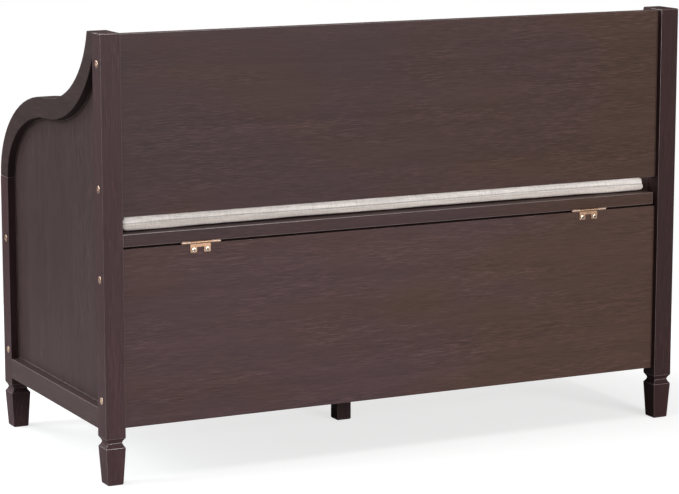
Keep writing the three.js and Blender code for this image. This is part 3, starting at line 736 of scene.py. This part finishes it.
def contain_cushion(item, middle, half):
    """Keeps every point on the lid, clear of the backrest and arms, and under the crown."""
    places = vertex_array(item.data)
    x = places[:, 0] - middle.x
    y = places[:, 1] - middle.y
    level = np.clip((places[:, 2] - middle.z) / half.z, -1, 1)
    taper = np.where(level > 0, UPPER_TAPER, LOWER_TAPER) * np.abs(level) ** 4
    reach_x = half.x - taper - WAIST_DEPTH * (1 - (y / half.y) ** 2)
    reach_y = half.y - taper - WAIST_DEPTH * (1 - (x / half.x) ** 2)
    x = np.clip(x, -reach_x, reach_x)
    y = np.clip(y, -reach_y, reach_y)
    side_x = half.x - np.abs(x)
    side_y = half.y - np.abs(y)
    inward = np.clip(side_x * side_y / (side_x + side_y) / CROWN_REACH, 0, 1)
    ceiling = half.z - CROWN_START + CUSHION_CROWN * np.sqrt(inward)
    room = ceiling - places[:, 2] + middle.z
    z = ceiling - CROWN_SOFTNESS * np.logaddexp(0, room / CROWN_SOFTNESS)
    z = np.maximum(z, -half.z)
    set_vertices(item.data, np.stack([x + middle.x, y + middle.y, z + middle.z], axis=1))


def make_cushion():
    low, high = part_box("seat_cushion")
    middle = (low + high) / 2
    half = (high - low) / 2 - Vector((CUSHION_ROOM, CUSHION_ROOM, 0))
    seam_height = middle.z + SEAM_LEVEL * half.z
    cushion = bpy.data.objects.new("seat_cushion_cover", cover_mesh(middle, half))
    bpy.context.scene.collection.objects.link(cushion)
    remeshed(cushion, CUSHION_VOXEL)
    fill_cushion(cushion, seam_height)
    fit_cushion(cushion, middle, half)
    contain_cushion(cushion, middle, half)
    fine = cushion.modifiers.new("fine", "SUBSURF")
    fine.levels = 1
    fine.render_levels = 1
    apply_modifiers(cushion)
    dress_cushion(cushion, middle, half)
    contain_cushion(cushion, middle, half)
    linen_shader("linen", seam_height).paint(cushion)
    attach(cushion, "cushion")
    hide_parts("seat_cushion")


# ---------------------------------------------------------------- camera, lights and floor


def make_camera():
    data = bpy.data.cameras.new("camera")
    data.lens = CAMERA_LENS
    data.sensor_width = CAMERA_SENSOR
    data.clip_start, data.clip_end = CAMERA_CLIP
    camera = bpy.data.objects.new("camera", data)
    camera.location = CAMERA_PLACE
    camera.rotation_euler = (math.radians(90 - CAMERA_PITCH), 0, math.radians(CAMERA_HEADING))
    bpy.context.scene.collection.objects.link(camera)
    bpy.context.scene.camera = camera


def make_softbox(name, place, target, size, power, tint):
    data = bpy.data.lights.new(name, "AREA")
    data.color = tint
    data.shape = "RECTANGLE"
    data.size, data.size_y = size
    data.energy = power
    light = bpy.data.objects.new(name, data)
    light.location = place
    light.rotation_euler = (Vector(target) - Vector(place)).to_track_quat("-Z", "Y").to_euler()
    bpy.context.scene.collection.objects.link(light)


def make_backdrop():
    """A world that looks plain white and lights the bench only dimly."""
    world = bpy.data.worlds.new("studio")
    world.use_nodes = True
    tree = world.node_tree
    seen = tree.nodes["Background"]
    seen.inputs["Color"].default_value = colour(*WHITE)
    glow = tree.nodes.new("ShaderNodeBackground")
    glow.inputs["Color"].default_value = WORLD_TINT
    glow.inputs["Strength"].default_value = WORLD_GLOW
    ray = tree.nodes.new("ShaderNodeLightPath")
    choose = tree.nodes.new("ShaderNodeMixShader")
    tree.links.new(ray.outputs["Is Camera Ray"], choose.inputs[0])
    tree.links.new(glow.outputs[0], choose.inputs[1])
    tree.links.new(seen.outputs[0], choose.inputs[2])
    tree.links.new(choose.outputs[0], tree.nodes["World Output"].inputs["Surface"])
    bpy.context.scene.world = world


def make_studio():
    make_backdrop()
    bpy.context.scene.view_settings.view_transform = "Standard"
    for name, settings in SOFTBOXES.items():
        make_softbox(name, *settings)


def make_floor():
    """A pale round floor, just larger than the bench's shadow, that looks almost white to the camera."""
    def build(work):
        bmesh.ops.create_circle(work, cap_ends=True, segments=FLOOR_SEGMENTS, radius=FLOOR_RADIUS)

    floor = bpy.data.objects.new("floor", mesh_from("floor", build))
    bpy.context.scene.collection.objects.link(floor)
    shader = Shader("pale_floor")
    seen = shader.add("ShaderNodeLightPath").outputs["Is Camera Ray"]
    shader.set(
        Base_Color=FLOOR_TONE,
        Roughness=0.9,
        Specular_IOR_Level=0.0,
        Emission_Color=colour(*WHITE),
        Emission_Strength=shader.product(seen, FLOOR_GLOW),
    )
    shader.paint(floor)


# ---------------------------------------------------------------- dressing the CAD nodes

PLUM = colour(0.066, 0.0375, 0.0400)
UMBER = colour(0.069, 0.0380, 0.0295)
MAROON = colour(0.062, 0.0325, 0.0350)
RUSSET = colour(0.070, 0.0325, 0.0325)
# Painted light: a greyer copy of the wood, for the cool light that falls on the side faces.
SIDE_LIGHT_GREY = colour(0.0605, 0.0360, 0.0355)
PLY_DARK = colour(0.075, 0.042, 0.030)
PLY_LIGHT = colour(0.125, 0.074, 0.050)


def dress(names, shader, radius, segments=3):
    for name in names:
        shader.paint(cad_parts[name])
        ease_edges(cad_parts[name], radius, segments)


def dress_boards():
    boards = wood_shader("espresso_boards", "x", toned(PLUM, 0.84), toned(UMBER, 0.88))
    # Painted light: the store's back board is a lighter copy of the boards' wood, for the extra light the
    # lower board gets.
    store = wood_shader("espresso_store_board_painted_light", "x", toned(PLUM, 1.06), toned(UMBER, 1.01))
    ply = wood_shader("stained_ply", "x", PLY_DARK, PLY_LIGHT, 0.3, 0.6)
    dress(["upper_back_panel", "lid", "front_top_rail", "front_bottom_rail"], boards, EDGE_RADIUS)
    dress(["front_left_panel", "front_right_panel"], boards, EDGE_RADIUS)
    dress(["lower_back_panel"], store, EDGE_RADIUS)
    dress(["rear_cleat", "front_cleat", "centre_rail", "floor_panel"], ply, FRAME_EDGE_RADIUS)


def dress_uprights():
    """Posts, stiles and the middle foot. The far post and the middle foot get darker copies of the posts'
    wood, as painted shade.
    """
    posts = wood_shader("espresso_posts", "z", toned(MAROON, 0.89), toned(RUSSET, 0.89), 1.0)
    # Painted shade: darker copies of the posts' wood for the far post and the middle foot.
    shaded = wood_shader("espresso_far_post_painted_shade", "z", toned(MAROON, 0.48), toned(RUSSET, 0.52), 1.0)
    painted_shade_foot = wood_shader("espresso_centre_foot_painted_shade", "z", toned(MAROON, 0.32), toned(RUSSET, 0.35), 0.4)
    stiles = wood_shader("espresso_stiles", "z", PLUM, UMBER, 0.4)
    dress(["rear_left_post", "front_left_post", "front_right_post"], posts, EDGE_RADIUS)
    dress(["rear_right_post"], shaded, EDGE_RADIUS)
    dress(["centre_foot"], painted_shade_foot, EDGE_RADIUS)
    dress(node_names("_stile"), stiles, FRAME_EDGE_RADIUS)


def dress_sides():
    # Painted light: the side panels, arms and rails take the greyer side-light copy of the wood, and the
    # arms' copy is darker again.
    sides = wood_shader("espresso_sides_painted_light", "z", toned(SIDE_LIGHT_GREY, 0.85), toned(SIDE_LIGHT_GREY, 0.99), 0.3)
    arms = wood_shader("espresso_arms_painted_light", "y", toned(SIDE_LIGHT_GREY, 0.67), toned(SIDE_LIGHT_GREY, 0.84), 0.1)
    rails = wood_shader("espresso_rails_painted_light", "y", SIDE_LIGHT_GREY, toned(SIDE_LIGHT_GREY, 1.15), 0.4)
    dress(node_names("_side_panel"), sides, FRAME_EDGE_RADIUS)
    dress(["left_arm", "right_arm"], arms, EDGE_RADIUS)
    dress(["left_bottom_rail", "right_bottom_rail"], rails, EDGE_RADIUS)


def dress_metal():
    bronze = metal_shader("antique_bronze", colour(0.74, 0.53, 0.41), colour(0.38, 0.25, 0.17), 0.3, "y")
    leaf = metal_shader("aged_brass", colour(0.40, 0.25, 0.165), colour(0.22, 0.135, 0.085), 0.42)
    knuckle = metal_shader("rubbed_brass", colour(0.58, 0.415, 0.33), colour(0.42, 0.295, 0.225), 0.56)
    bright = metal_shader("bright_brass", colour(0.90, 0.74, 0.60), colour(0.66, 0.48, 0.36), 0.3)
    zinc = metal_shader("zinc_steel", colour(0.60, 0.61, 0.62), colour(0.42, 0.42, 0.43), 0.34, "y")
    dress([name for name in sorted(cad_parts) if "_bolt_" in name], bronze, BOLT_EDGE_RADIUS, 2)
    dress(node_names("_fixed_leaf"), leaf, HINGE_EDGE_RADIUS, 2)
    dress(node_names("_lid_leaf", "_pin"), knuckle, HINGE_EDGE_RADIUS, 2)
    dress(node_names("_screw"), shaded_screw_centre(bright), SCREW_EDGE_RADIUS, 2)
    dress(node_names("_stay_arm", "_stay_link", "_stay_bracket"), zinc, FINE_EDGE_RADIUS, 2)


def dress_mouldings():
    plastic = moulded_shader("black_plastic", colour(0.018, 0.018, 0.019), 0.5, 0.6 * MM)
    rubber = moulded_shader("black_rubber", colour(0.022, 0.022, 0.022), 0.8, 0.4 * MM)
    dress(node_names("_stay_body"), plastic, STAY_BODY_EDGE_RADIUS)
    dress(node_names("_bumper"), rubber, BUMPER_EDGE_RADIUS, 2)


make_camera()
make_studio()
make_floor()
dress_boards()
dress_uprights()
dress_sides()
dress_metal()
dress_mouldings()
make_cushion()
